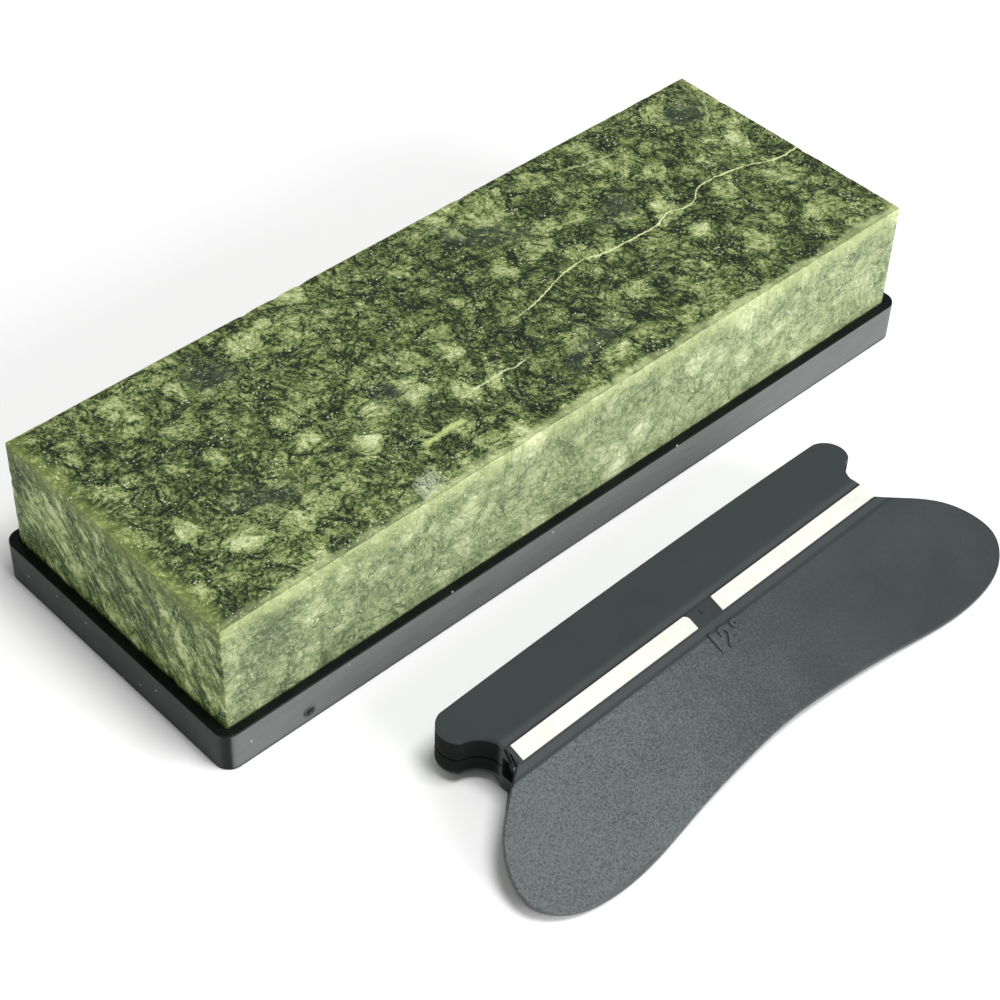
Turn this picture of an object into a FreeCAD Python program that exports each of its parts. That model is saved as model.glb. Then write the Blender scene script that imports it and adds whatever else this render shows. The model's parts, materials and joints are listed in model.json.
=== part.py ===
"""Natural-stone sharpening whetstone in its moulded tray, with a clip-on angle guide.

Millimetres, +Z up. The origin is the centre of the tray's underside. X runs along the
stone. The guide lies on the same table as the tray, in front of its -Y side, with its
ridge along X, its jaw towards the tray and its wing away from it.
"""
import FreeCAD
import Part
import math
import os

V = FreeCAD.Vector

# ---- stone and tray ----
STONE_LENGTH = 200.0
STONE_WIDTH = 70.0
STONE_HEIGHT = 30.0
STONE_EDGE = 0.8            # dressed chamfer on every arris

TRAY_LENGTH = 205.0
TRAY_WIDTH = 75.0
TRAY_HEIGHT = 10.3
TRAY_CORNER = 3.5
TRAY_EDGE = 0.3
RECESS_DEPTH = 2.4
RECESS_GAP = 0.25           # between the stone and the rim, each side
RECESS_CORNER = 1.2
SEAT_GAP = 0.1              # under the stone
TREAD_DEPTH = 0.8           # grooves in the tray's underside
TREAD_WIDTH = 3.0
TREAD_PITCH = 9.0
TREAD_COUNT = 8
TREAD_LENGTH = 188.0

# ---- angle guide: where it lies ----
GUIDE_X = -10.0             # middle of the guide's length
GUIDE_Y = -78.9             # wing side of the ceramic strips; s = y - GUIDE_Y
GUIDE_YAW = 1.2             # degrees; it lies not quite square to the tray
RIDGE_Z = 12.0              # height of the wing's plane at s = 0
WING_SLOPE = 19.6           # degrees, falling towards -Y

# ---- hinge ----
HINGE_S = 1.2
HINGE_Z = 6.8
PIN_RADIUS = 1.0
PIN_FIT = 0.05              # running fit in the lower half
KNUCKLE_RADIUS = 2.2
WEB_OVERLAP = 0.5           # how far a knuckle's web reaches into its half
CAVITY_HALF = 2.7           # room above and below the axis for coils and knuckles
CAVITY_BACK = 4.2           # s where the knife slot begins
UPPER_KNUCKLES = ((-53.0, -43.0), (-6.0, 6.0), (43.0, 53.0))
LOWER_KNUCKLES = ((-42.6, -33.0), (33.0, 42.6))

# ---- jaw, ridge and wing ----
RIDGE_HALF = 54.2           # half length of the ridge
JAW_BACK = 19.9             # s of the jaw's edge at its middle
JAW_TOP = ((3.8, 13.15), (6.2, 13.1), (JAW_BACK, 12.25))
JAW_CORNER = (57.0, 19.2)   # (u, s) where the gently bowed edge meets the rounded lobe
LOBE_BULGE = (60.9, 14.0)
LOBE_WAIST = (59.4, 10.8)
NECK_HOLLOW = (55.9, 9.0)
NECK = (RIDGE_HALF, 6.2)
OUTLINE_FRONT = -4.0        # s where the jaw's outline stops, under the wing
JAW_GAP = 0.4               # between the closed lips
LOWER_JAW_UNDER = 2.9       # underside of the lower jaw at its edge
LOWER_RIDGE_UNDER = 0.4     # underside of the lower ridge and of its tail
WING_THICKNESS = 1.2
TAIL_THICKNESS = 1.4
SKIRT_S = -3.0              # s where the ridge's front wall stands
CREST_S = 3.1               # s where the strips' slope meets the flat crest
WING_ROUND = 0.35
JAW_ROUND = 0.2
SLOT_S = (2.75, 4.35)       # core slots in each end of the upper ridge: s at height SLOT_Z
SLOT_Z = 13.1
SLOT_TILT = -38.0           # degrees from upright
SLOT_WIDTH = 0.7
SLOT_DEPTH = 6.0
SLOT_SPAN = (-4.6, -0.9)    # along the slot, from SLOT_Z

# ---- ceramic strips (u is measured along the ridge from its middle) ----
STRIP_WIDTH = 3.8
STRIP_THICKNESS = 1.6
STRIP_PROUD = 0.35
STRIP_CLEAR = 0.05
STRIP_START = -0.35         # s of the strip's wing-side edge
LEFT_STRIP = (-53.3, -2.7)
RIGHT_STRIP = (4.9, RIDGE_HALF)
STRIP_CORNER = 1.3

# ---- springs ----
SPRING_WIRE = 0.5           # wire diameter
SPRING_RADIUS = 1.75        # of the coil's centre line
SPRING_PITCH = 0.62
SPRING_TURNS = 5.25         # ends a quarter turn on, so that its legs part
SPRING_STARTS = (-26.0, 22.8)
SPRING_FOOT = (-8.5, 2.08)  # s and z where the lower leg ends, on the tail
SPRING_BEND = 1.08          # swelling of the wire at its bends
SPRING_HOOK = 4.0           # height of the upper leg above the axis
HOOK_POCKET = (-0.55, 1.0)  # room for the hook towards -s and +s
HOOK_POCKET_TOP = 11.3
HOOK_POCKET_HALF = 0.6      # half its width along the ridge
OVERSIZE = 20.0             # cutting and outline bodies reach past the guide by this


def solid_box(x0, x1, y0, y1, z0, z1):
    """A box between two corners."""
    return Part.makeBox(x1 - x0, y1 - y0, z1 - z0, V(x0, y0, z0))


def fillet_if(shape, radius, test):
    """Fillets the edges whose centre passes a test."""
    edges = [e for e in shape.Edges if test(e)]
    return shape.makeFillet(radius, edges)


def is_vertical(edge):
    """True for a straight edge along Z."""
    if not isinstance(edge.Curve, Part.Line):
        return False
    return abs(edge.Curve.Direction.z) > 0.999


def level(edge, z):
    """True when the whole edge lies at height z."""
    return abs(edge.BoundBox.ZMin - z) < 1e-4 and abs(edge.BoundBox.ZMax - z) < 1e-4


def arc(a, b, c):
    """The arc from a through b to c."""
    return Part.Arc(V(*a), V(*b), V(*c)).toShape()


def line(a, b):
    """The straight edge from a to b."""
    return Part.LineSegment(V(*a), V(*b)).toShape()


def spline(points):
    """A smooth edge through the points."""
    curve = Part.BSplineCurve()
    curve.interpolate([V(*p) for p in points])
    return curve.toShape()


def prism_along_x(section, half):
    """Extrudes a polygon of (s, z) points along X, over half each side of the middle."""
    points = [V(GUIDE_X - half, GUIDE_Y + s, z) for s, z in section]
    face = Part.Face(Part.makePolygon(points + points[:1]))
    return face.extrude(V(2 * half, 0, 0))


def lay(shape):
    """Turns a finished guide piece to the angle at which the guide lies."""
    shape.rotate(V(GUIDE_X, GUIDE_Y, 0), V(0, 0, 1), GUIDE_YAW)
    return shape


def rod(u0, u1, radius):
    """A cylinder on the hinge axis from u0 to u1."""
    base = V(GUIDE_X + u0, GUIDE_Y + HINGE_S, HINGE_Z)
    return Part.makeCylinder(radius, u1 - u0, base, V(1, 0, 0))


# ------------------------------------------------------------------ tray and stone
def base_tray():
    """Solid moulded tray with a shallow recess, and tread grooves underneath."""
    half_l = TRAY_LENGTH / 2
    half_w = TRAY_WIDTH / 2
    tray = solid_box(-half_l, half_l, -half_w, half_w, 0, TRAY_HEIGHT)
    tray = fillet_if(tray, TRAY_CORNER, is_vertical)
    in_l = STONE_LENGTH / 2 + RECESS_GAP
    in_w = STONE_WIDTH / 2 + RECESS_GAP
    recess = solid_box(-in_l, in_l, -in_w, in_w, TRAY_HEIGHT - RECESS_DEPTH, TRAY_HEIGHT + 1)
    tray = tray.cut(fillet_if(recess, RECESS_CORNER, is_vertical))
    for i in range(TREAD_COUNT):
        y = (i - (TREAD_COUNT - 1) / 2) * TREAD_PITCH
        groove = solid_box(-TREAD_LENGTH / 2, TREAD_LENGTH / 2, y - TREAD_WIDTH / 2,
                           y + TREAD_WIDTH / 2, -1, TREAD_DEPTH)
        tray = tray.cut(groove)
    tray = fillet_if(tray, TRAY_EDGE, lambda e: level(e, TRAY_HEIGHT))
    outer = [e for e in tray.Edges if level(e, 0) and not is_tread(e)]
    return tray.makeFillet(TRAY_EDGE, outer)


def is_tread(edge):
    """True for an edge of a tread groove."""
    middle = edge.BoundBox.Center
    return abs(middle.x) < TREAD_LENGTH / 2 + 0.1 and abs(middle.y) < TRAY_WIDTH / 2 - 1


def whetstone():
    """The sawn stone block, with its arrises dressed off."""
    z0 = TRAY_HEIGHT - RECESS_DEPTH + SEAT_GAP
    block = solid_box(-STONE_LENGTH / 2, STONE_LENGTH / 2, -STONE_WIDTH / 2, STONE_WIDTH / 2,
                      z0, z0 + STONE_HEIGHT)
    return block.makeChamfer(STONE_EDGE, block.Edges)


# ------------------------------------------------------------------ guide outlines
def jaw_outline():
    """Plan of the jaw and ridge: a bowed back edge, rounded lobes and waisted ends."""
    edges = []
    for side in (1, -1):
        corner, bulge, waist, hollow, neck = [
            (side * u, v, 0) for u, v in (JAW_CORNER, LOBE_BULGE, LOBE_WAIST, NECK_HOLLOW, NECK)]
        edges.append(arc(corner, bulge, waist))
        edges.append(arc(waist, hollow, neck))
        edges.append(line(neck, (side * RIDGE_HALF, OUTLINE_FRONT, 0)))
    edges.append(arc((JAW_CORNER[0], JAW_CORNER[1], 0), (0, JAW_BACK, 0), (-JAW_CORNER[0], JAW_CORNER[1], 0)))
    edges.append(line((RIDGE_HALF, OUTLINE_FRONT, 0), (-RIDGE_HALF, OUTLINE_FRONT, 0)))
    return plate(edges, OVERSIZE)


def mirrored_spline(right_half):
    """One smooth edge through points given from the right end to the middle."""
    left_half = [(-u, v, 0) for u, v in reversed(right_half[:-1])]
    return spline([(u, v, 0) for u, v in right_half] + left_half)


def plate(edges, thickness):
    """A flat plate from z = 0 up, with a closed outline of edges in the (u, v) plane."""
    wire = Part.Wire(Part.__sortEdges__(edges))
    return Part.Face(wire).extrude(V(0, 0, thickness))


def butterfly_wing():
    """The two-lobed wing: a sloping plate, rounded along its upper rim."""
    right = ((55.0, -0.4), (61.2, -4.9), (67.2, -9.9), (71.3, -16.4), (72.0, -23.2),
             (67.4, -28.5), (58.6, -31.3), (47.5, -31.5), (31.0, -29.2), (13.0, -27.1), (0.0, -26.4))
    rim = mirrored_spline(right)
    top = line((right[0][0], right[0][1], 0), (-right[0][0], right[0][1], 0))
    wing = plate([rim, top], WING_THICKNESS)
    upper = [e for e in wing.Edges if level(e, WING_THICKNESS) and e.BoundBox.YMin < -20]
    wing = wing.makeFillet(WING_ROUND, upper)
    wing.translate(V(0, 0, -WING_THICKNESS))
    wing.rotate(V(0, 0, 0), V(1, 0, 0), WING_SLOPE)
    wing.translate(V(GUIDE_X, GUIDE_Y, RIDGE_Z))
    return wing


def thumb_tail():
    """The lower half's shorter tail, flat near the table and inside the wing's outline."""
    right = ((RIDGE_HALF, 2.0), (57.6, -0.6), (60.4, -4.0), (60.6, -8.6), (56.0, -12.6),
             (46.0, -14.0), (24.0, -12.6), (0.0, -11.8))
    rim = mirrored_spline(right)
    top = line((RIDGE_HALF, 2.0, 0), (-RIDGE_HALF, 2.0, 0))
    tail = plate([rim, top], TAIL_THICKNESS)
    tail.translate(V(GUIDE_X, GUIDE_Y, LOWER_RIDGE_UNDER))
    return tail


def wing_top(s):
    """Height of the wing's upper plane at s."""
    return RIDGE_Z + s * math.tan(math.radians(WING_SLOPE))


# ------------------------------------------------------------------ guide halves
def knuckle(u0, u1, towards):
    """A hinge barrel from u0 to u1, with its web up (+1) or down (-1)."""
    web_end = HINGE_Z + towards * (CAVITY_HALF + WEB_OVERLAP)
    low = min(HINGE_Z, web_end)
    high = max(HINGE_Z, web_end)
    y = GUIDE_Y + HINGE_S
    web = solid_box(GUIDE_X + u0, GUIDE_X + u1, y - KNUCKLE_RADIUS, y + KNUCKLE_RADIUS, low, high)
    return rod(u0, u1, KNUCKLE_RADIUS).fuse(web)


def end_slots():
    """Two narrow slanting core slots in each end face of the upper ridge."""
    slots = []
    for side in (-1, 1):
        for s_top in SLOT_S:
            slot = solid_box(-SLOT_DEPTH, SLOT_DEPTH, -SLOT_WIDTH / 2, SLOT_WIDTH / 2,
                             SLOT_SPAN[0], SLOT_SPAN[1])
            slot.rotate(V(0, 0, 0), V(1, 0, 0), SLOT_TILT)
            slot.translate(V(GUIDE_X + side * RIDGE_HALF, GUIDE_Y + s_top, SLOT_Z))
            slots.append(slot)
    return slots


def hook_pockets():
    """Blind pockets above the coils, where the springs' upper legs hook in."""
    pockets = []
    s_hook = HINGE_S + SPRING_RADIUS
    for start in SPRING_STARTS:
        x = GUIDE_X + start + SPRING_PITCH * SPRING_TURNS
        pockets.append(solid_box(x - HOOK_POCKET_HALF, x + HOOK_POCKET_HALF,
                                 GUIDE_Y + s_hook + HOOK_POCKET[0],
                                 GUIDE_Y + s_hook + HOOK_POCKET[1],
                                 HINGE_Z + CAVITY_HALF - 0.2, HOOK_POCKET_TOP))
    return pockets


def upper_strip_frame(shape):
    """Moves a strip drawn flat (top at z = 0, edge at y = 0) onto the ridge's slope."""
    shape.rotate(V(0, 0, 0), V(1, 0, 0), WING_SLOPE)
    shape.translate(V(GUIDE_X, GUIDE_Y + STRIP_START, wing_top(STRIP_START)))
    return shape


def lower_strip_frame(shape):
    """Turns a strip drawn flat upside down onto the lower ridge, face at z = 0."""
    shape.rotate(V(0, 0, 0), V(1, 0, 0), 180.0)
    shape.translate(V(GUIDE_X, GUIDE_Y + STRIP_START + STRIP_WIDTH, LOWER_RIDGE_UNDER))
    return shape


def strip_blank(span, grow=0.0):
    """One flat strip; grow widens it to cut its channel."""
    high = 2.0 if grow else STRIP_PROUD
    blank = solid_box(span[0] - grow, span[1] + grow, -grow, STRIP_WIDTH + grow,
                      STRIP_PROUD - STRIP_THICKNESS, high)
    return blank


def upper_half():
    """Upper jaw, ridge and butterfly wing in one moulding."""
    lip = HINGE_Z + JAW_GAP / 2
    ceiling = HINGE_Z + CAVITY_HALF
    wing_under = wing_top(SKIRT_S) - WING_THICKNESS / math.cos(math.radians(WING_SLOPE))
    section = list(JAW_TOP) + [(JAW_BACK, lip), (CAVITY_BACK, lip), (CAVITY_BACK, ceiling),
                               (SKIRT_S + 1.0, ceiling), (SKIRT_S, wing_under),
                               (SKIRT_S, wing_top(SKIRT_S)), (CREST_S, wing_top(CREST_S))]
    plan = jaw_outline()
    plan.translate(V(GUIDE_X, GUIDE_Y, 0))
    body = plan.common(prism_along_x(section, RIDGE_HALF + OVERSIZE))
    body = round_outer_rim(body, True)
    body = body.fuse(butterfly_wing())
    for u0, u1 in UPPER_KNUCKLES:
        body = body.fuse(knuckle(u0, u1, 1))
    body = body.cut(rod(-RIDGE_HALF, RIDGE_HALF, PIN_RADIUS))
    for slot in end_slots() + hook_pockets():
        body = body.cut(slot)
    for span in (LEFT_STRIP, RIGHT_STRIP):
        body = body.cut(upper_strip_frame(strip_blank(span, STRIP_CLEAR)))
    return body.removeSplitter()


def lower_half():
    """Lower jaw, ridge and thumb tail in one moulding."""
    lip = HINGE_Z - JAW_GAP / 2
    floor = HINGE_Z - CAVITY_HALF
    under = LOWER_RIDGE_UNDER
    section = [(JAW_BACK, lip), (JAW_BACK, LOWER_JAW_UNDER), (6.4, LOWER_JAW_UNDER - 0.5),
               (4.0, under), (SKIRT_S, under), (SKIRT_S, under + TAIL_THICKNESS), (-0.8, floor),
               (CAVITY_BACK, floor), (CAVITY_BACK, lip)]
    plan = jaw_outline()
    plan.translate(V(GUIDE_X, GUIDE_Y, 0))
    body = plan.common(prism_along_x(section, RIDGE_HALF + OVERSIZE))
    body = round_outer_rim(body, False)
    body = body.fuse(thumb_tail())
    for u0, u1 in LOWER_KNUCKLES:
        body = body.fuse(knuckle(u0, u1, -1))
    body = body.cut(rod(-RIDGE_HALF, RIDGE_HALF, PIN_RADIUS + PIN_FIT))
    for span in (LEFT_STRIP, RIGHT_STRIP):
        body = body.cut(lower_strip_frame(strip_blank(span, STRIP_CLEAR)))
    return body.removeSplitter()


def round_outer_rim(body, upper):
    """Rounds the jaw's outside rim, along its back edge and lobes."""
    y_from = GUIDE_Y + CAVITY_BACK + 4.0
    edges = []
    for edge in body.Edges:
        box = edge.BoundBox
        outside = box.ZMin > HINGE_Z + 2 if upper else box.ZMax < HINGE_Z - 2
        on_face = box.ZLength < 1.0
        if outside and on_face and box.YMin > y_from and not is_vertical(edge):
            edges.append(edge)
    return body.makeFillet(JAW_ROUND, edges)


# ------------------------------------------------------------------ strips, pin, springs
def ceramic_strip(span, place):
    """One ceramic strip, its inner end rounded on the jaw side."""
    strip = strip_blank(span)
    if span is LEFT_STRIP:
        inner = [e for e in strip.Edges if is_vertical(e) and e.BoundBox.XMin > span[1] - 0.1
                 and e.BoundBox.YMin > STRIP_WIDTH - 0.1]
        strip = strip.makeFillet(STRIP_CORNER, inner)
    return place(strip)


def hinge_pin():
    """Plain steel pin through all the knuckles."""
    return rod(UPPER_KNUCKLES[0][0], UPPER_KNUCKLES[-1][1], PIN_RADIUS)


def torsion_spring(start):
    """Coil round the pin: its lower leg lies on the tail and its upper leg hooks in the ridge."""
    length = SPRING_PITCH * SPRING_TURNS
    helix = Part.Wire(Part.makeHelix(SPRING_PITCH, length, SPRING_RADIUS))
    section = Part.Wire(Part.Circle(V(SPRING_RADIUS, 0, 0), V(0, 1, 0), SPRING_WIRE / 2).toShape())
    pipe = Part.BRepOffsetAPI.MakePipeShell(helix)
    pipe.setFrenetMode(True)
    pipe.add(section)
    pipe.build()
    pipe.makeSolid()
    coil = pipe.shape()
    coil.rotate(V(0, 0, 0), V(0, 1, 0), 90)
    foot = V(0, SPRING_FOOT[0] - HINGE_S, SPRING_FOOT[1] - HINGE_Z)
    lower_leg = wire_leg(V(0, 0, -SPRING_RADIUS), foot)
    back = V(length, SPRING_RADIUS, 0)
    upper_leg = wire_leg(back, back + V(0, 0, SPRING_HOOK))
    spring = coil.fuse(lower_leg).fuse(upper_leg)
    spring.translate(V(GUIDE_X + start, GUIDE_Y + HINGE_S, HINGE_Z))
    return spring


def wire_leg(a, b):
    """A straight leg of spring wire, with a slightly swollen bend where it leaves the coil."""
    leg = Part.makeCylinder(SPRING_WIRE / 2, (b - a).Length, a, b - a)
    return leg.fuse(Part.makeSphere(SPRING_WIRE / 2 * SPRING_BEND, a))


PARTS = {
    "base_tray": base_tray,
    "whetstone_block": whetstone,
    "guide_upper_half": lambda: lay(upper_half()),
    "guide_lower_half": lambda: lay(lower_half()),
    "upper_strip_left": lambda: lay(ceramic_strip(LEFT_STRIP, upper_strip_frame)),
    "upper_strip_right": lambda: lay(ceramic_strip(RIGHT_STRIP, upper_strip_frame)),
    "lower_strip_left": lambda: lay(ceramic_strip(LEFT_STRIP, lower_strip_frame)),
    "lower_strip_right": lambda: lay(ceramic_strip(RIGHT_STRIP, lower_strip_frame)),
    "hinge_pin": lambda: lay(hinge_pin()),
    "torsion_spring_left": lambda: lay(torsion_spring(SPRING_STARTS[0])),
    "torsion_spring_right": lambda: lay(torsion_spring(SPRING_STARTS[1])),
}

os.makedirs("parts", exist_ok=True)
for name, build in PARTS.items():
    shape = build()
    shape.exportStep("parts/" + name + ".step")
    print(name, shape.isValid(), len(shape.Solids), round(shape.Volume, 1))
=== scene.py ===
"""Looks for a jade-green whetstone in its moulded tray, with a clip-on angle guide.

Everything is in metres in the CAD's frame. Material helpers work in millimetres.
"""

import json
import math
import random

import bmesh
import bpy
from mathutils import Matrix, Vector, noise


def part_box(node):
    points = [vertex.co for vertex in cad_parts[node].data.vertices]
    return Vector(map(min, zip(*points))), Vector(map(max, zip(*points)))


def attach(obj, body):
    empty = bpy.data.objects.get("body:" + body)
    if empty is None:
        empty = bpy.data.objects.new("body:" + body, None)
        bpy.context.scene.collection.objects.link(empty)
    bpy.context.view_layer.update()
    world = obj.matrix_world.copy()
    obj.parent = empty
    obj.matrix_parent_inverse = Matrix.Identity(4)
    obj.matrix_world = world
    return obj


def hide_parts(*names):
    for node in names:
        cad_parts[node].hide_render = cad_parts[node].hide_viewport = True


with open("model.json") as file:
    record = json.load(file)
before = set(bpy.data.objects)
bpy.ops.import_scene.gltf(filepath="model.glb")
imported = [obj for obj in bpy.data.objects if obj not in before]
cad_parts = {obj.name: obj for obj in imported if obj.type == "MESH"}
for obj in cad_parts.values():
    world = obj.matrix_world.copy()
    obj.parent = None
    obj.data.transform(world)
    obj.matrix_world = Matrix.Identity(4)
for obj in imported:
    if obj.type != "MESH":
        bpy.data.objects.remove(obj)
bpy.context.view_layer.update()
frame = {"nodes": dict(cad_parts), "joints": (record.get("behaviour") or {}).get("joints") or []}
scene = bpy.context.scene
MM = 0.001

# sizes in millimetres
STONE_ROUND = 0.7           # radius of the stone's edges
STONE_STEP = 1.3            # its quads
ROUND_STEPS = 3             # rows of quads over a rounded edge
EDGE_REACH = 0.75           # this near to two faces is an edge
FACE_START = 0.7            # a face's mask starts this far inside it
FACE_FULL = 0.2             # and is full this far inside it
NODULE_SIZE = 8.5
PEBBLE_SIZE = 4.4
WALL_START = 0.6            # the same for the tray's walls
WALL_FULL = 0.1
HINGE_S = 1.2               # s of the hinge pin; s runs from the strips' edge towards the jaw
RIDGE_Z = 12.0              # height of the wing's plane at s = 0
WING_SLOPE = 19.6           # degrees
SKIRT_BAND = (-3.2, -2.7, -2.4, -1.9)   # s over the step between wing and ridge
STRIP_BAND = (-1.0, -0.7, 3.65, 3.95)   # s over the strips and the plastic beside them
CREST_BAND = (2.9, 3.3, 4.6, 5.9)       # s over the slope up to the jaw's flat top
JAW_SIDE_BAND = (2.9, 3.6, 11.6, 12.2)  # z over the jaw's upright sides
GATE_X, GATE_Z = -81.25, 3.1            # the tray's moulding gate, on its long wall
GATE_RADIUS = 1.5
DIGIT_SIZE = 6.2
DIGIT_HEIGHT = 0.26
DIGIT_SWELL = 0.22
DIGIT_BEVEL = 0.06
DIGIT_LIFT = 0.1

# the camera: azimuth, elevation and roll in degrees, its place in metres, its lens
CAMERA_TURN = (-45.17, 44.35, 2.62)
CAMERA_PLACE = (-0.26878, -0.27519, 0.35872)
CAMERA_LENS = 82.91


# ------------------------------------------------------------------ material helpers
def rgb(red, green, blue):
    """A linear colour from everyday 0-255 values."""
    return tuple((c / 255 / 12.92 if c <= 10 else ((c / 255 + 0.055) / 1.055) ** 2.4)
                 for c in (red, green, blue)) + (1.0,)


class Mat:
    """One procedural material. Methods add a node and return its output socket."""

    def __init__(self, name, **shader):
        self.material = bpy.data.materials.new(name)
        self.material.use_nodes = True
        self.tree = self.material.node_tree
        self.tree.nodes.clear()
        out = self.tree.nodes.new("ShaderNodeOutputMaterial")
        self.bsdf = self.tree.nodes.new("ShaderNodeBsdfPrincipled")
        self.tree.links.new(self.bsdf.outputs["BSDF"], out.inputs["Surface"])
        for socket, value in shader.items():
            self.bsdf.inputs[socket.replace("_", " ")].default_value = value
        coords = self.tree.nodes.new("ShaderNodeTexCoord").outputs["Object"]
        self.mm = self.scaled(coords, 1000.0)

    def put(self, socket, value):
        """Links a socket to an output, or sets it."""
        if isinstance(value, bpy.types.NodeSocket):
            self.tree.links.new(value, socket)
        else:
            socket.default_value = value

    def set(self, **sockets):
        """Sets or links inputs of the shader."""
        for socket, value in sockets.items():
            self.put(self.bsdf.inputs[socket.replace("_", " ")], value)

    def math(self, op, a, b=0.0, clamp=False):
        """One arithmetic step on two numbers or outputs."""
        n = self.tree.nodes.new("ShaderNodeMath")
        n.operation = op
        n.use_clamp = clamp
        self.put(n.inputs[0], a)
        self.put(n.inputs[1], b)
        return n.outputs[0]

    def sub(self, a, b):
        """a less b."""
        return self.math("SUBTRACT", a, b)

    def larger(self, a, b):
        """The larger of two masks."""
        return self.math("MAXIMUM", a, b)

    def add(self, *terms):
        """The sum of all terms."""
        total = terms[0]
        for term in terms[1:]:
            total = self.math("ADD", total, term)
        return total

    def mul(self, *terms, clamped=False):
        """The product of all terms."""
        total = terms[0]
        for term in terms[1:]:
            total = self.math("MULTIPLY", total, term, clamped)
        return total

    def vec(self, op, a, b=(0.0, 0.0, 0.0)):
        """One vector step; a length comes out as a number."""
        n = self.tree.nodes.new("ShaderNodeVectorMath")
        n.operation = op
        self.put(n.inputs[0], a)
        self.put(n.inputs[1], b)
        return n.outputs["Value"] if op == "LENGTH" else n.outputs[0]

    def scaled(self, a, factor):
        """The vector times a number."""
        return self.vec("MULTIPLY", a, (factor, factor, factor))

    def xyz(self, vector):
        """The three parts of a vector or colour."""
        n = self.tree.nodes.new("ShaderNodeSeparateXYZ")
        self.put(n.inputs[0], vector)
        return n.outputs[0], n.outputs[1], n.outputs[2]

    def turned(self, vector, centre, turn):
        """The vector seen from a frame at centre, turned by Euler angles in degrees."""
        n = self.tree.nodes.new("ShaderNodeMapping")
        n.vector_type = "TEXTURE"
        self.put(n.inputs["Vector"], vector)
        n.inputs["Location"].default_value = centre
        n.inputs["Rotation"].default_value = [math.radians(t) for t in turn]
        return n.outputs[0]

    def fade(self, x, low, high, to_low=0.0, to_high=1.0):
        """A smooth step from to_low, at low, to to_high, at high."""
        n = self.tree.nodes.new("ShaderNodeMapRange")
        n.interpolation_type = "SMOOTHSTEP"
        self.put(n.inputs["Value"], x)
        self.put(n.inputs["From Min"], low)
        self.put(n.inputs["From Max"], high)
        self.put(n.inputs["To Min"], to_low)
        self.put(n.inputs["To Max"], to_high)
        return n.outputs["Result"]

    def band(self, x, start, full_from, full_to, end):
        """A mask that is full from full_from to full_to, and gone before start and past end."""
        return self.mul(self.fade(x, start, full_from), self.fade(x, end, full_to))

    def noise(self, vector, size, detail=3.0, rough=0.5, out="Fac"):
        """Noise whose features are about size millimetres."""
        n = self.tree.nodes.new("ShaderNodeTexNoise")
        self.put(n.inputs["Vector"], vector)
        n.inputs["Scale"].default_value = 1.0 / size
        n.inputs["Detail"].default_value = detail
        n.inputs["Roughness"].default_value = rough
        return n.outputs[out]

    def warp(self, vector, size, amount, detail=2.0):
        """The vector pushed about by noise, by up to about amount / 2."""
        push = self.vec("SUBTRACT", self.noise(vector, size, detail, out="Color"), (0.5, 0.5, 0.5))
        return self.vec("ADD", vector, self.scaled(push, amount))

    def cells(self, vector, size, feature="F1"):
        """Voronoi cells of about size millimetres: their distance and random colour outputs."""
        n = self.tree.nodes.new("ShaderNodeTexVoronoi")
        n.feature = feature
        self.put(n.inputs["Vector"], vector)
        n.inputs["Scale"].default_value = 1.0 / size
        return n.outputs["Distance"], (None if feature == "DISTANCE_TO_EDGE" else n.outputs["Color"])

    def mix(self, factor, a, b):
        """Colour a, going over to colour b as the factor goes to 1."""
        n = self.tree.nodes.new("ShaderNodeMix")
        n.data_type = "RGBA"
        self.put(n.inputs[0], factor)
        self.put(n.inputs[6], a)
        self.put(n.inputs[7], b)
        return n.outputs[2]

    def ramp(self, x, *stops):
        """A colour ramp of (position, colour) stops."""
        n = self.tree.nodes.new("ShaderNodeValToRGB")
        self.put(n.inputs[0], x)
        elements = n.color_ramp.elements
        while len(elements) < len(stops):
            elements.new(0.5)
        for element, (position, colour) in zip(elements, stops):
            element.position = position
            element.color = colour
        return n.outputs["Color"]

    def curve(self, x, x_range, y_range, points):
        """A smooth curve through (x, y) points, in millimetres."""
        n = self.tree.nodes.new("ShaderNodeFloatCurve")
        unit = self.fade_linear(x, x_range[0], x_range[1])
        self.put(n.inputs["Value"], unit)
        curve = n.mapping.curves[0]
        spots = [((px - x_range[0]) / (x_range[1] - x_range[0]),
                  (py - y_range[0]) / (y_range[1] - y_range[0])) for px, py in points]
        while len(curve.points) < len(spots):
            curve.points.new(0.5, 0.5)
        for point, spot in zip(curve.points, spots):
            point.location = spot
        n.mapping.update()
        return self.fade_linear(n.outputs["Value"], 0.0, 1.0, *y_range)

    def fade_linear(self, x, low, high, to_low=0.0, to_high=1.0):
        """A straight ramp from to_low, at low, to to_high, at high."""
        n = self.tree.nodes.new("ShaderNodeMapRange")
        self.put(n.inputs["Value"], x)
        n.inputs["From Min"].default_value = low
        n.inputs["From Max"].default_value = high
        n.inputs["To Min"].default_value = to_low
        n.inputs["To Max"].default_value = to_high
        return n.outputs["Result"]

    def bump(self, height, depth):
        """A bump of depth millimetres from a height of 0 to 1."""
        n = self.tree.nodes.new("ShaderNodeBump")
        n.inputs["Strength"].default_value = 1.0
        n.inputs["Distance"].default_value = depth * MM
        self.put(n.inputs["Height"], height)
        return n.outputs["Normal"]


def dress(names, mat):
    """Gives CAD nodes or pieces a material."""
    for name in names:
        obj = bpy.data.objects.get(name) or frame["nodes"][name]
        obj.data.materials.clear()
        obj.data.materials.append(mat.material)


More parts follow.
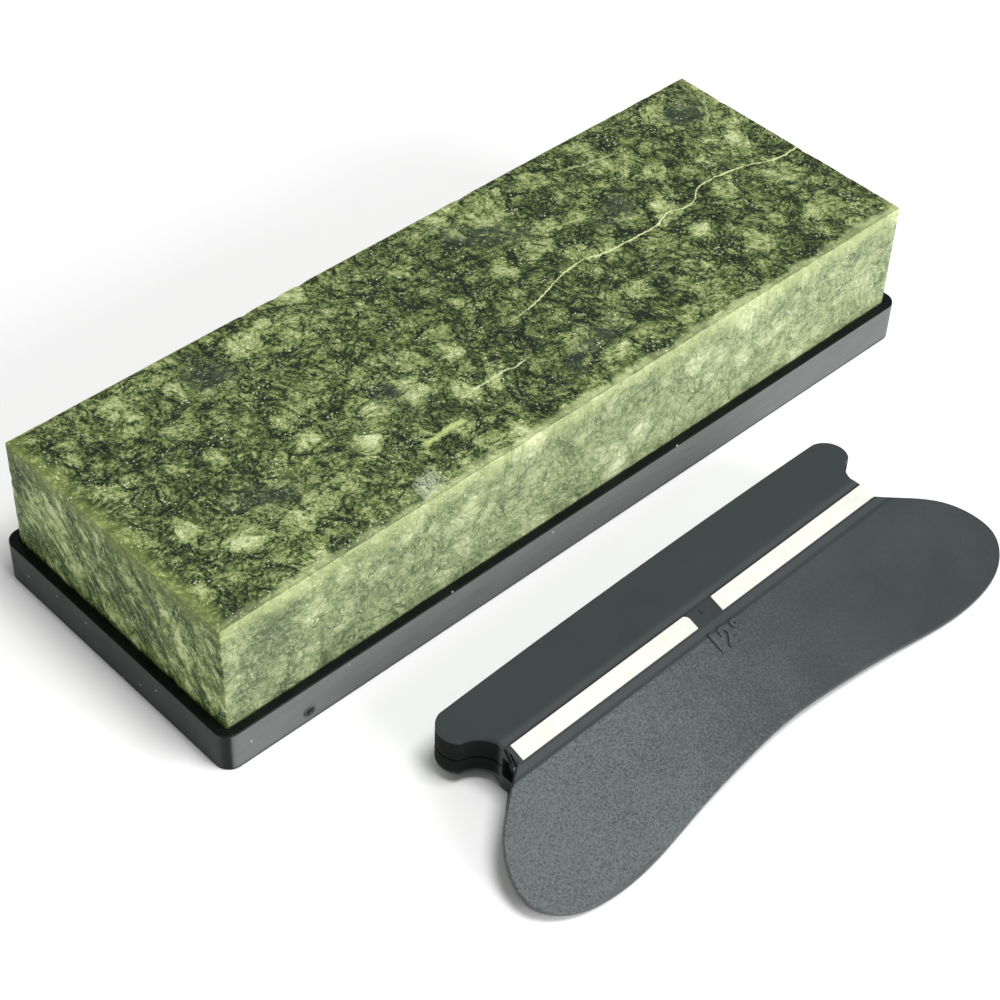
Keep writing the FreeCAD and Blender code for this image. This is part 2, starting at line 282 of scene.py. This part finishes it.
# ------------------------------------------------------------------ stone
def ladder(low, high, step, radius):
    """Positions from low to high: fine over the rounded ends, even between."""
    turn = [radius * (1 - math.cos(math.pi / 2 * i / ROUND_STEPS)) for i in range(ROUND_STEPS)]
    count = max(1, round((high - low - 2 * radius) / step))
    middle = [low + radius + (high - low - 2 * radius) * i / count for i in range(count + 1)]
    return [low + t for t in turn] + middle + [high - t for t in reversed(turn)]


def rounded_block(lo, hi, radius, step):
    """A box mesh of even quads whose edges and corners are rounded."""
    axes = [ladder(lo[i], hi[i], step, radius) for i in range(3)]
    bm = bmesh.new()
    made = {}

    def corner(key):
        if key not in made:
            made[key] = bm.verts.new([axes[i][key[i]] for i in range(3)])
        return made[key]

    for axis in range(3):
        a, b = (axis + 1) % 3, (axis + 2) % 3
        for end in (0, len(axes[axis]) - 1):
            for i in range(len(axes[a]) - 1):
                for j in range(len(axes[b]) - 1):
                    keys = []
                    for di, dj in ((0, 0), (1, 0), (1, 1), (0, 1)):
                        key = [0, 0, 0]
                        key[axis], key[a], key[b] = end, i + di, j + dj
                        keys.append(tuple(key))
                    bm.faces.new([corner(k) for k in (keys if end else keys[::-1])])
    for v in bm.verts:
        inner = Vector([min(max(v.co[i], lo[i] + radius), hi[i] - radius) for i in range(3)])
        out = v.co - inner
        if out.length > 0:
            v.co = inner + out.normalized() * radius
    return bm


def make_stone():
    """The stone as a finely divided block with worn, slightly chipped arrises and sawn sides."""
    lo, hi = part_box("whetstone_block")
    bm = rounded_block(lo, hi, STONE_ROUND * MM, STONE_STEP * MM)
    bm.normal_update()
    for v in bm.verts:
        p = v.co / MM
        near = sum(1 for i in range(3) if min(v.co[i] - lo[i], hi[i] - v.co[i]) < EDGE_REACH * MM)
        dip = 0.04 * (noise.noise(p * 0.35) + 0.5 * noise.noise(p * 1.1))
        if abs(v.normal.z) < 0.5:
            dip += 0.05 * noise.noise(p * 0.5 + Vector((7, 3, 1)))
        if near > 1:
            chip = noise.noise(p * 0.22 + Vector((3, 9, 4))) + 0.7 * noise.noise(p * 0.8)
            dip += 0.08 + 0.55 * max(0.0, chip - 0.25)
        v.co -= v.normal * max(0.0, dip + 0.03) * MM
    mesh = bpy.data.meshes.new("stone_body")
    bm.to_mesh(mesh)
    bm.free()
    mesh.polygons.foreach_set("use_smooth", [True] * len(mesh.polygons))
    obj = bpy.data.objects.new("stone_body", mesh)
    scene.collection.objects.link(obj)
    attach(obj, "stone")
    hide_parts("whetstone_block")
    return obj


def streak(m, place, start, end, width, wobble):
    """A mask of a thin streak between two points of a face, (x, y) in millimetres."""
    (x0, y0), (x1, y1) = start, end
    length = math.hypot(x1 - x0, y1 - y0)
    angle = math.degrees(math.atan2(y1 - y0, x1 - x0))
    local = m.turned(place, (x0, y0, 0.0), (0.0, 0.0, angle))
    along, across, _ = m.xyz(local)
    across = m.add(across, wobble)
    off = m.fade(m.math("ABSOLUTE", across), width, width * 0.25)
    inside = m.mul(m.fade(along, -1.0, length * 0.15), m.fade(along, length + 1.0, length * 0.85))
    return m.mul(off, inside)


def blob(m, place, centre, radii, angle):
    """A soft oval patch mask at (x, y) of a face."""
    local = m.turned(place, (centre[0], centre[1], 0.0), (0.0, 0.0, angle))
    squashed = m.vec("MULTIPLY", local, (1 / radii[0], 1 / radii[1], 0.0))
    return m.fade(m.vec("LENGTH", squashed), 1.15, 0.3)


def jade():
    """Mottled green jade: pale nodules in a dark matrix, painted glints and cream veins, with painted relief
    shading on its crinkles, a painted glow near its top edges, and sides painted paler, partly their own
    colour and partly painted light.
    """
    m = Mat("stone_jade", Specular_IOR_Level=0.25)
    lo, hi = [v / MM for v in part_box("whetstone_block")]
    x, y, z = m.xyz(m.mm)
    flow = m.warp(m.mm, 20.0, 9.0)
    curl = m.warp(flow, 4.2, 2.8, 3.0)
    crumb = m.warp(curl, 1.2, 0.9, 3.0)

    lump = m.warp(flow, 5.0, 3.0, 2.0)
    big, big_colour = m.cells(lump, NODULE_SIZE)
    medium, medium_colour = m.cells(crumb, PEBBLE_SIZE)
    shard = m.warp(crumb, 0.8, 0.9, 2.0)
    _, chip_colour = m.cells(shard, 1.3)
    seam, _ = m.cells(lump, NODULE_SIZE, "DISTANCE_TO_EDGE")
    crack, _ = m.cells(crumb, PEBBLE_SIZE, "DISTANCE_TO_EDGE")
    split, _ = m.cells(shard, 1.9, "DISTANCE_TO_EDGE")
    big_tone = m.xyz(big_colour)[0]
    medium_tone = m.xyz(medium_colour)[1]
    chip_tone = m.xyz(chip_colour)[2]
    cloud = m.noise(flow, 26.0, 3.0, 0.55)
    patch = m.noise(curl, 6.5, 4.0, 0.62)
    fibre = m.noise(crumb, 0.75, 4.0, 0.72)
    grain = m.noise(m.mm, 0.42, 2.0, 0.8)

    nodule = m.mul(m.fade(big, 0.64, 0.22), m.fade(big_tone, 0.3, 0.85))
    pebble = m.mul(m.fade(medium, 0.7, 0.12), m.fade(medium_tone, 0.1, 0.9))
    seams = m.mul(m.fade(seam, 0.07, 0.0), m.fade(m.noise(flow, 5.0, 2.0), 0.42, 0.58))
    cracks = m.mul(m.fade(crack, 0.1, 0.0), m.fade(m.noise(curl, 4.0, 2.0), 0.4, 0.6), 0.85)
    splits = m.mul(m.fade(split, 0.16, 0.0), m.fade(m.noise(curl, 2.5, 2.0), 0.4, 0.62), 0.75)
    lines = m.larger(seams, m.larger(cracks, splits))
    # painted light and shade: two offset copies of one noise, subtracted, paint each crinkle lighter on one
    # side and darker on the other, as relief shading
    fold_shading = m.sub(m.noise(crumb, 1.7, 4.0, 0.66),
                   m.noise(m.vec("ADD", crumb, (0.42, 0.3, 0.42)), 1.7, 4.0, 0.66))
    tone = m.add(0.315,
                 m.mul(nodule, 0.36),
                 m.mul(pebble, 0.24),
                 m.mul(m.sub(cloud, 0.5), 0.6),
                 m.mul(m.sub(patch, 0.47), 0.50),
                 m.mul(m.sub(chip_tone, 0.5), 0.12),
                 m.mul(fold_shading, 1.15),
                 m.mul(m.sub(fibre, 0.5), 0.75),
                 m.mul(m.sub(grain, 0.5), 0.9))
    tone = m.sub(tone, m.mul(lines, 0.30))

    top = m.ramp(tone,
                 (0.0, rgb(9, 22, 8)), (0.16, rgb(33, 49, 20)), (0.36, rgb(80, 95, 50)),
                 (0.56, rgb(128, 140, 88)), (0.78, rgb(158, 169, 118)), (1.0, rgb(192, 201, 156)))
    pale = m.ramp(m.add(m.mul(tone, 0.78), m.fade(x, -95.0, -25.0, 0.03, 0.13)),
                  (0.0, rgb(74, 88, 62)), (0.22, rgb(106, 120, 84)), (0.45, rgb(138, 149, 108)),
                  (0.7, rgb(166, 175, 134)), (1.0, rgb(204, 211, 174)))

    drawn = m.vec("MULTIPLY", m.turned(curl, (0.0, 0.0, 0.0), (54.0, 0.0, 0.0)), (0.5, 0.2, 0.8))
    drag = m.noise(drawn, 1.7, 5.0, 0.68)
    end_tone = m.add(m.mul(tone, 0.95), m.mul(m.sub(drag, 0.5), 2.9), 0.14)
    end = m.ramp(end_tone,
                 (0.0, rgb(40, 58, 26)), (0.3, rgb(84, 102, 50)), (0.55, rgb(124, 142, 82)),
                 (0.8, rgb(162, 178, 114)), (1.0, rgb(202, 213, 156)))

    side_mask = m.larger(m.fade(y, lo.y + FACE_START, lo.y + FACE_FULL),
                         m.fade(y, hi.y - FACE_START, hi.y - FACE_FULL))
    end_mask = m.larger(m.fade(x, lo.x + FACE_START, lo.x + FACE_FULL),
                        m.fade(x, hi.x - FACE_START, hi.x - FACE_FULL))
    # the sides are painted paler than the top: partly their own paler sawn colour, partly painted light for
    # the brighter light falling on them
    colour = m.mix(side_mask, top, pale)
    colour = m.mix(end_mask, colour, end)

    # painted light: the sides and the ends are painted paler near the top edge, and the top is painted paler
    # along its near end and near side, as a glow of light through the stone's edges
    ragged = m.add(m.mul(m.sub(m.noise(curl, 8.0, 4.0, 0.62), 0.5), 9.0),
                   m.mul(m.sub(fibre, 0.5), 3.0))
    depth = m.add(m.sub(hi.z, z), ragged)
    rim = m.fade(depth, 6.0, 0.8)
    glow_tone = m.mul(m.sub(tone, 0.3), 0.9, clamped=True)
    glow = m.mix(glow_tone, rgb(168, 178, 122), rgb(204, 210, 160))
    colour = m.mix(m.mul(side_mask, rim, 0.55), colour, glow)
    lime_tone = m.mul(m.sub(tone, 0.2), 1.2, clamped=True)
    lime = m.mix(lime_tone, rgb(118, 132, 70), rgb(184, 192, 124))
    colour = m.mix(m.mul(end_mask, rim, 0.65), colour, lime)
    from_end = m.add(m.sub(x, lo.x), m.mul(ragged, 0.8))
    on_top = m.fade(z, hi.z - 0.8, hi.z - 0.3)
    colour = m.mix(m.mul(m.fade(from_end, 4.6, 0.6), on_top, 0.6), colour, lime)
    from_side = m.add(m.sub(y, lo.y), m.mul(ragged, 0.75))
    top_edge_glow = m.mix(0.5, pale, glow)
    top_edge_glow_mask = m.mul(m.fade(from_side, 2.6, 1.2), on_top, m.fade(cloud, 0.4, 0.56, 0.45, 0.85))
    colour = m.mix(top_edge_glow_mask, colour, top_edge_glow)

    patchy = m.fade(m.noise(curl, 2.2, 4.0, 0.6), 0.35, 0.62)
    for centre, radii, angle in (((20, 22), (13, 6.5), -40), ((-56, 25), (7, 9), 20),
                                 ((-32, -6), (4, 8), 15), ((48, 8), (9, 5), 30), ((-70, -12), (10, 5), -20),
                                 ((90, 24), (9, 6), 0), ((12, -22), (14, 5), 10)):
        mask = m.mul(blob(m, curl, centre, radii, angle), patchy, on_top, 0.8)
        colour = m.mix(mask, colour, rgb(36, 50, 42))
    pale_spot = m.mul(blob(m, curl, (-43.5, -31.5), (5.5, 4.0), 30), on_top, m.fade(fibre, 0.35, 0.6), 0.6)
    colour = m.mix(pale_spot, colour, rgb(190, 199, 176))

    dip = m.mul(m.sub(hi.z, z), 0.35)
    path = m.curve(x, (0, 101), (-8, 8),
                   ((0, -4.2), (6, -4.9), (12, -4.2), (21, -1.7), (29, -0.4), (37, -1.8), (45, -2.3),
                    (52, -2.4), (57, -0.8), (63, -2.2), (71, 1.3), (78, 1), (86, -1), (94, -3.3), (101, -3)))
    wobble = m.add(m.mul(m.sub(m.noise(m.mm, 1.4, 3.0, 0.65), 0.5), 1.2),
                   m.mul(m.sub(m.noise(m.mm, 5.0, 1.0), 0.5), 1.0))
    gap = m.math("ABSOLUTE", m.add(m.sub(y, path), m.mul(dip, -1.0), wobble))
    thick = m.fade(m.noise(m.mm, 5.0, 2.0), 0.35, 0.65, 0.06, 0.26)
    vein = m.mul(m.fade(gap, m.add(thick, 0.14), m.mul(thick, 0.5)), m.fade(x, 0.0, 14.0),
                 m.fade(fibre, 0.2, 0.5, 0.55, 1.0))
    colour = m.mix(m.mul(vein, 0.9), colour, rgb(206, 210, 156))
    for start, end_at, width, shade, amount in (
            ((-19, -16.2), (-2, -16.4), 0.42, rgb(196, 204, 158), 0.8),
            ((-37, -22.3), (-25, -21.6), 1.2, rgb(178, 192, 122), 0.85),
            ((88, 14), (100, 28), 0.4, rgb(170, 180, 126), 0.5),
            ((50, 26.5), (65, 22.8), 0.45, rgb(176, 188, 138), 0.55)):
        mask = m.mul(streak(m, m.warp(m.mm, 2.5, 2.0), start, end_at, width, wobble), on_top, amount,
                     m.fade(fibre, 0.25, 0.5))
        colour = m.mix(mask, colour, shade)

    # painted highlights: small bright glints painted into the colour where the cells cluster, a little less
    # rough there
    glint, glint_colour = m.cells(m.warp(m.mm, 0.6, 0.8), 0.62)
    swarm = m.fade(m.noise(curl, 5.0, 3.0, 0.6), 0.42, 0.66)
    lit = m.mul(m.fade(m.xyz(glint_colour)[0], 0.62, 0.9), m.fade(glint, 0.5, 0.2), swarm)
    colour = m.mix(m.mul(lit, 0.65), colour, rgb(224, 230, 190))
    dull = m.fade(fibre, 0.3, 0.7, 0.62, 0.48)
    m.set(Base_Color=colour, Roughness=m.sub(dull, m.mul(lit, 0.18)))

    relief = m.add(m.mul(fibre, 0.6), m.mul(grain, 0.4), m.mul(nodule, 0.25), m.mul(lines, -0.4))
    sawn = m.mul(m.larger(side_mask, end_mask), m.noise(crumb, 2.0, 4.0, 0.62))
    height = m.add(relief, m.mul(sawn, 3.4), m.mul(end_mask, drag, 1.6), m.mul(vein, 0.3))
    m.set(Normal=m.bump(height, 0.16))
    return m


# ------------------------------------------------------------------ plastics, ceramic, steel
hinge = next(j for j in frame["joints"] if j["name"] == "jaw_open")
HINGE_POS = Vector(hinge["pos_m"])
HINGE_AXIS = Vector(hinge["axis"])
GUIDE_YAW = math.degrees(math.atan2(-HINGE_AXIS.y, -HINGE_AXIS.x))
guide_frame = Matrix.Rotation(math.radians(GUIDE_YAW), 4, "Z")
guide_frame.translation = HINGE_POS - guide_frame.to_3x3() @ Vector((0, HINGE_S * MM, HINGE_POS.z))


def guide_local(m):
    """(u, s, z) of the guide in millimetres: along the ridge, towards the jaw, and up."""
    origin = guide_frame.translation / MM
    return m.turned(m.mm, origin, (0.0, 0.0, GUIDE_YAW))


def guide_plastic():
    """Black ABS: smooth on the jaw and ridge, spark-eroded grain on the wing, growing paler towards its left
    end, with painted shade at the wing's step, beside the strips and on the jaw's upright sides.
    """
    m = Mat("guide_black_plastic", Specular_IOR_Level=0.2)
    place = guide_local(m)
    u, s, z = m.xyz(place)
    over = m.fade(z, 1.0, 2.0)
    on_wing = m.mul(m.fade(s, -2.5, -2.8), over)
    step = m.mul(m.band(s, *SKIRT_BAND), over)
    flank = m.mul(m.band(s, *CREST_BAND), over)
    frame_gap_shade = m.mul(m.band(s, *STRIP_BAND), over)
    ends = m.mul(m.fade(s, 4.0, 6.0), m.band(z, *JAW_SIDE_BAND))
    spark = m.noise(m.mm, 0.44, 3.0, 0.75)
    peck, _ = m.cells(m.mm, 0.5)
    soft = m.noise(m.mm, 14.0, 3.0, 0.55)
    fine = m.noise(m.mm, 0.12, 2.0, 0.6)
    rub = m.fade(m.noise(m.vec("MULTIPLY", place, (0.25, 1.0, 1.0)), 0.5, 4.0, 0.7), 0.62, 0.78)
    # the wing's colour grows paler towards its left end
    paler_towards_left = m.fade(u, 50.0, -60.0, -0.05, 0.13)
    coarse = m.fade(u, 42.0, -45.0, 0.2, 1.15)
    wing = m.ramp(m.add(0.44, m.mul(m.sub(spark, 0.5), coarse, 0.8), m.mul(soft, 0.12), paler_towards_left),
                  (0.34, rgb(34, 38, 38)), (0.5, rgb(52, 57, 57)), (0.7, rgb(88, 94, 93)))
    plain = m.ramp(m.add(m.mul(soft, 0.6), m.mul(fine, 0.4)),
                   (0.3, rgb(48, 53, 54)), (0.7, rgb(53, 58, 59)))
    colour = m.mix(on_wing, plain, wing)
    colour = m.mix(m.mul(flank, 0.6), colour, rgb(70, 76, 76))
    # painted shade: a dark line along the step down to the wing, and darker plastic in the gaps beside the
    # strips
    shade = rgb(34, 38, 38)
    colour = m.mix(m.mul(step, 0.7), colour, shade)
    colour = m.mix(m.mul(frame_gap_shade, 0.75), colour, shade)
    # painted shade: the jaw's upright sides are painted near-black for the shade on them
    colour = m.mix(m.mul(ends, 0.94), colour, rgb(6, 7, 7))
    colour = m.mix(m.mul(rub, 0.12), colour, rgb(120, 126, 124))
    m.set(Base_Color=colour,
          Roughness=m.add(m.mul(on_wing, 0.03), m.mul(ends, 0.45), m.fade(soft, 0.3, 0.7, 0.40, 0.47)))
    pits = m.add(m.mul(spark, 0.6), m.mul(peck, 0.5))
    m.set(Normal=m.bump(m.add(m.mul(on_wing, pits, coarse), m.mul(fine, 0.08), m.mul(step, -0.4)), 0.085))
    return m


def tray_rubber():
    """Black moulded tray: a faint moulded texture, handling marks and a little dust, with its walls painted
    lighter as painted light and its foot painted darker as painted shade.
    """
    m = Mat("tray_black", Specular_IOR_Level=0.14)
    lo, hi = [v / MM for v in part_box("base_tray")]
    x, y, z = m.xyz(m.mm)
    soft = m.noise(m.mm, 9.0, 4.0, 0.6)
    fine = m.noise(m.mm, 0.25, 3.0, 0.7)
    smear = m.noise(m.vec("MULTIPLY", m.mm, (0.12, 0.12, 1.0)), 1.2, 4.0, 0.65)
    body = m.ramp(m.add(m.mul(soft, 0.5), m.mul(smear, 0.5)),
                  (0.3, rgb(7, 8, 8)), (0.55, rgb(10, 12, 12)), (0.8, rgb(18, 20, 20)))
    below_rim = m.fade(z, hi.z - 0.15, hi.z - 0.4)
    long_wall = m.mul(m.fade(m.math("ABSOLUTE", y), hi.y - WALL_START, hi.y - WALL_FULL), below_rim)
    end_wall = m.mul(m.fade(m.math("ABSOLUTE", x), hi.x - WALL_START, hi.x - WALL_FULL), below_rim)
    wall = m.larger(long_wall, end_wall)
    # painted light: the walls are painted a lighter grey than the rim, and the long walls lighter still, for
    # the light they catch from the side
    body = m.mix(wall, body, m.ramp(smear, (0.3, rgb(40, 43, 42)), (0.7, rgb(48, 51, 50))))
    body = m.mix(long_wall, body, m.ramp(smear, (0.3, rgb(87, 90, 89)), (0.7, rgb(97, 100, 99))))
    speck, speck_colour = m.cells(m.mm, 3.2)
    dust = m.mul(m.fade(speck, 0.1, 0.05), m.fade(m.xyz(speck_colour)[0], 0.8, 0.86))
    colour = m.mix(m.mul(dust, 0.75), body, rgb(190, 190, 186))
    # painted shade: the lowest part of the tray, beside the floor, is painted darker
    foot_shade = m.fade(z, 0.9, 0.5)
    colour = m.mix(m.mul(foot_shade, 0.6), colour, rgb(16, 17, 17))
    from_gate = m.vec("MULTIPLY", m.vec("SUBTRACT", m.mm, (GATE_X, 0.0, GATE_Z)), (0.8, 0.0, 1.0))
    scar = m.mul(m.fade(m.vec("LENGTH", from_gate), GATE_RADIUS, 0.7), m.fade(y, lo.y + 0.3, lo.y + 0.1))
    colour = m.mix(m.mul(scar, 0.9), colour, rgb(12, 13, 13))
    m.set(Base_Color=colour,
          Roughness=m.add(m.fade(soft, 0.3, 0.7, 0.28, 0.36), m.mul(wall, 0.14), m.mul(dust, 0.3)))
    m.set(Normal=m.bump(m.add(m.mul(fine, 0.5), m.mul(smear, 0.3), dust), 0.05))
    return m


def ceramic():
    """White sintered alumina: faint creamy variation, ground faces and a few grey rub marks."""
    m = Mat("strip_ceramic", Specular_IOR_Level=0.5)
    place = guide_local(m)
    soft = m.noise(m.mm, 5.0, 3.0, 0.6)
    fine = m.noise(m.mm, 0.15, 2.0, 0.7)
    rub = m.fade(m.noise(m.vec("MULTIPLY", place, (0.15, 1.4, 1.0)), 0.8, 4.0, 0.7), 0.64, 0.8)
    colour = m.ramp(m.add(m.mul(soft, 0.7), m.mul(fine, 0.3)),
                    (0.3, rgb(188, 189, 179)), (0.7, rgb(199, 200, 192)))
    colour = m.mix(m.mul(rub, 0.18), colour, rgb(176, 178, 172))
    m.set(Base_Color=colour, Roughness=m.fade(fine, 0.3, 0.7, 0.3, 0.42))
    m.set(Normal=m.bump(m.add(m.mul(fine, 0.6), m.mul(rub, -0.3)), 0.02))
    return m


def steel():
    """Drawn steel wire and pin."""
    m = Mat("spring_steel", Metallic=1.0)
    draw = m.noise(m.vec("MULTIPLY", m.mm, (6.0, 1.0, 1.0)), 0.6, 3.0, 0.6)
    m.set(Base_Color=m.ramp(draw, (0.3, rgb(140, 142, 145)), (0.7, rgb(190, 192, 194))),
          Roughness=m.fade(draw, 0.3, 0.7, 0.24, 0.4))
    m.set(Normal=m.bump(draw, 0.01))
    return m


# ------------------------------------------------------------------ small raised details
def on_wing(u, v, lift):
    """A world matrix on the wing's plane at (u, v) millimetres, facing out of it."""
    slope = math.radians(WING_SLOPE)
    place = (u * MM, v * math.cos(slope) * MM, (RIDGE_Z + v * math.sin(slope)) * MM)
    local = (Matrix.Translation(place) @ Matrix.Rotation(slope, 4, "X")
             @ Matrix.Translation((0, 0, lift * MM)))
    return guide_frame @ local


def make_marking(mat):
    """The raised angle figure on the wing, 12 degrees."""
    for name, text, u, v in (("angle_digit_one", "1", -1.6, -7.2),
                             ("angle_digit_two", "2", 1.8, -7.2),
                             ("angle_degree_sign", "°", 4.9, -7.6)):
        curve = bpy.data.curves.new(name, "FONT")
        curve.body = text
        curve.size = DIGIT_SIZE * MM
        curve.align_x = "CENTER"
        curve.extrude = DIGIT_HEIGHT * MM
        curve.offset = DIGIT_SWELL * MM
        curve.bevel_depth = DIGIT_BEVEL * MM
        curve.bevel_resolution = 1
        holder = bpy.data.objects.new(name + "_outline", curve)
        scene.collection.objects.link(holder)
        bpy.context.view_layer.update()
        graph = bpy.context.evaluated_depsgraph_get()
        mesh = bpy.data.meshes.new_from_object(holder.evaluated_get(graph))
        bpy.data.objects.remove(holder)
        mesh.transform(on_wing(u, v, DIGIT_LIFT))
        obj = bpy.data.objects.new(name, mesh)
        scene.collection.objects.link(obj)
        obj.data.materials.clear()
        obj.data.materials.append(mat.material)
        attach(obj, "guide")


def nub(name, place, radius, height, body, mat, seed):
    """A small torn-off moulding stub: a ragged low dome on a disc, with a raised collar."""
    # each ring: its share of the radius, and of the height
    rings = ((1.0, 0.0), (0.96, 0.5), (0.8, 0.55), (0.7, 0.1), (0.45, 0.12), (0.32, 0.8), (0.12, 1.0))
    around = 28
    dice = random.Random(seed)
    bm = bmesh.new()
    loops = []
    for share, rise in rings:
        loop = []
        for i in range(around):
            angle = 2 * math.pi * i / around
            r = radius * share * (1 + 0.1 * (dice.random() - 0.5))
            z = height * rise * (1 + 0.35 * (dice.random() - 0.5))
            spot = Vector((r * math.cos(angle) * MM, r * math.sin(angle) * MM, z * MM))
            loop.append(bm.verts.new(place @ spot))
        loops.append(loop)
    for low, high in zip(loops, loops[1:]):
        for i in range(around):
            j = (i + 1) % around
            bm.faces.new((low[i], low[j], high[j], high[i]))
    bm.faces.new(loops[-1])
    bm.faces.new(loops[0][::-1])
    mesh = bpy.data.meshes.new(name)
    bm.to_mesh(mesh)
    bm.free()
    mesh.polygons.foreach_set("use_smooth", [True] * len(mesh.polygons))
    obj = bpy.data.objects.new(name, mesh)
    scene.collection.objects.link(obj)
    mesh.materials.append(mat.material)
    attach(obj, body)


def make_gates(tray_mat, guide_mat):
    """Gate scars: one on the tray's long wall, one on the ridge between the strips."""
    wall_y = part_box("base_tray")[0].y
    wall = (Matrix.Translation((GATE_X * MM, wall_y - 0.02 * MM, GATE_Z * MM))
            @ Matrix.Rotation(math.radians(90), 4, "X"))
    nub("tray_gate_mark", wall, GATE_RADIUS, 0.34, "tray", tray_mat, 5)
    nub("ridge_gate_scar", on_wing(0.9, 2.0, 0.0), 0.6, 0.3, "guide", guide_mat, 8)


# ------------------------------------------------------------------ staging
def camera():
    """The studio camera, at a three-quarter view from the near end."""
    azimuth, elevation, roll = (math.radians(a) for a in CAMERA_TURN)
    out = Vector((math.sin(azimuth) * math.cos(elevation), -math.cos(azimuth) * math.cos(elevation),
                  math.sin(elevation)))
    forward = -out
    level = forward.cross(Vector((0, 0, 1))).normalized()
    over = level.cross(forward)
    right = level * math.cos(roll) + over * math.sin(roll)
    up = over * math.cos(roll) - level * math.sin(roll)
    data = bpy.data.cameras.new("camera")
    data.sensor_width = 36.0
    data.lens = CAMERA_LENS
    data.clip_start = 0.01
    obj = bpy.data.objects.new("camera", data)
    scene.collection.objects.link(obj)
    turn = Matrix((right, up, -forward)).transposed().to_4x4()
    obj.matrix_world = Matrix.Translation(CAMERA_PLACE) @ turn
    scene.camera = obj


def area_light(name, place, aim, size, power):
    """A white soft box at place, turned to aim; metres and watts."""
    data = bpy.data.lights.new(name, "AREA")
    data.shape = "RECTANGLE"
    data.size, data.size_y = size
    data.energy = power
    obj = bpy.data.objects.new(name, data)
    scene.collection.objects.link(obj)
    obj.location = place
    obj.rotation_euler = (Vector(aim) - Vector(place)).to_track_quat("-Z", "Y").to_euler()


def staging():
    """A white floor, two soft boxes and a white surround."""
    bpy.ops.mesh.primitive_plane_add(size=8.0, location=(0, 0, 0))
    floor = bpy.context.object
    floor.name = "studio_floor"
    m = Mat("floor_white", Specular_IOR_Level=0.2, Roughness=0.7)
    soft = m.noise(m.mm, 300.0, 2.0, 0.5)
    m.set(Base_Color=m.ramp(soft, (0.3, rgb(238, 238, 238)), (0.7, rgb(242, 242, 242))))
    floor.data.materials.append(m.material)
    world = bpy.data.worlds.new("studio")
    scene.world = world
    world.use_nodes = True
    background = world.node_tree.nodes["Background"]
    background.inputs["Color"].default_value = (1.0, 1.0, 1.0, 1.0)
    background.inputs["Strength"].default_value = 0.4
    area_light("key", place=(0.35, -1.3, 0.5), aim=(0, 0, 0.02), size=(1.2, 0.7), power=22.0)
    area_light("overhead", place=(0.15, -0.35, 1.35), aim=(0, 0, 0), size=(0.55, 0.55), power=15.0)
    scene.view_settings.view_transform = "Standard"


# ------------------------------------------------------------------ put together
stone = make_stone()
stone.data.materials.append(jade().material)
plastic = guide_plastic()
dress(["guide_upper_half", "guide_lower_half"], plastic)
rubber = tray_rubber()
dress(["base_tray"], rubber)
dress(["upper_strip_left", "upper_strip_right", "lower_strip_left", "lower_strip_right"], ceramic())
dress(["hinge_pin", "torsion_spring_left", "torsion_spring_right"], steel())
make_marking(plastic)
make_gates(rubber, plastic)
camera()
staging()
